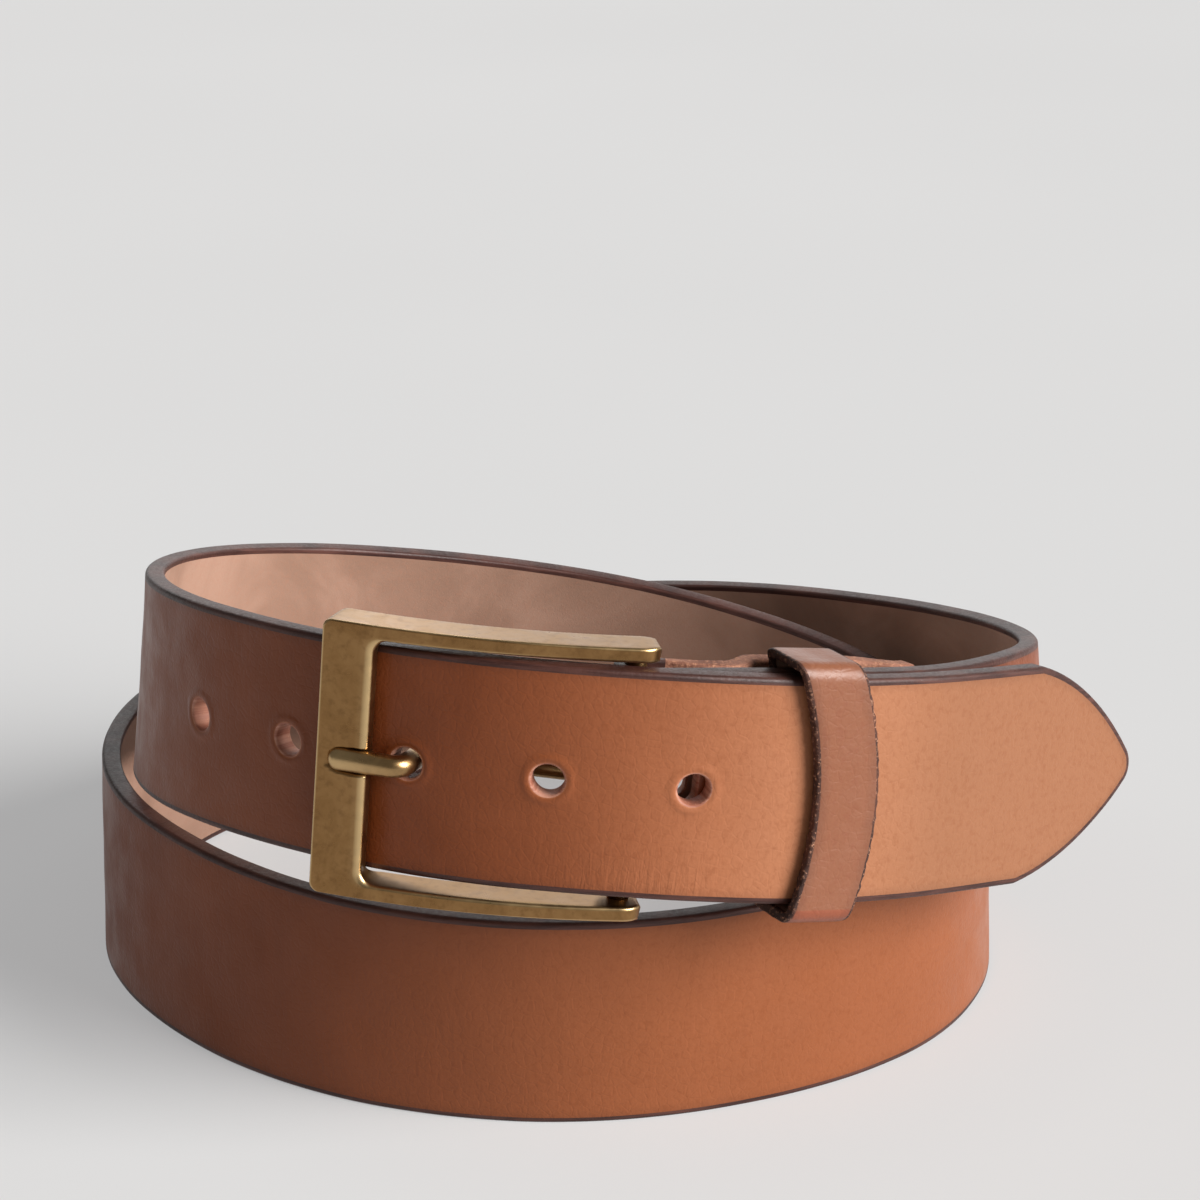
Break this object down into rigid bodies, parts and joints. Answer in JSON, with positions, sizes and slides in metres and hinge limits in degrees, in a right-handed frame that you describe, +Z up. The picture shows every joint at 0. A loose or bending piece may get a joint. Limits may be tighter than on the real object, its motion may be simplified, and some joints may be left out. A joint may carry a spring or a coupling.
{
  "type": "leather belt",
  "caption": "Buckled leather dress belt wound into a standing coil, with a curved rectangular brass frame buckle, pivoting prong and leather keeper loop.",
  "frame": {"origin": "on the surface that the belt stands on, under the middle of the coil's bounding box", "axes": "+Z up, away from the surface; -Y towards the buckled front; +X towards the tip's side"},
  "size_m": [0.1972, 0.184, 0.0986],
  "materials": {
    "tan_leather": "pull-up leather, waxed grain side, burnished dark edges",
    "keeper_leather": "waxed grain side, rough cut edges",
    "antique_brass": "antique, softly polished, with patina",
    "waxed_thread": "waxed linen",
    "staple_wire": "bright wire"
  },
  "bodies": {
    "strap": {"strap": "tan_leather", "stitching_by_bar": "waxed_thread", "stitching_by_flap_end": "waxed_thread"},
    "keeper": {"keeper": "keeper_leather", "keeper_staple": "staple_wire"},
    "frame": {"buckle_frame": "antique_brass"},
    "prong": {"prong": "antique_brass"}
  },
  "joints": [
    {"name": "frame_swing", "type": "hinge", "parent": "strap", "child": "frame", "pos_m": [0.00424, -0.08323, 0.07048], "axis": [0.0754, 0.0477, 0.996], "range_deg": [0, 1.2]},
    {"name": "prong_swing", "type": "hinge", "parent": "frame", "child": "prong", "pos_m": [0.00424, -0.08323, 0.07048], "axis": [0.0754, 0.0477, 0.996], "range_deg": [0, 0.8]},
    {"name": "keeper_slide", "type": "slide", "parent": "strap", "child": "keeper", "axis": [-0.8674, -0.4619, 0.185], "range_m": [-0.001, 0.001]}
  ]
}
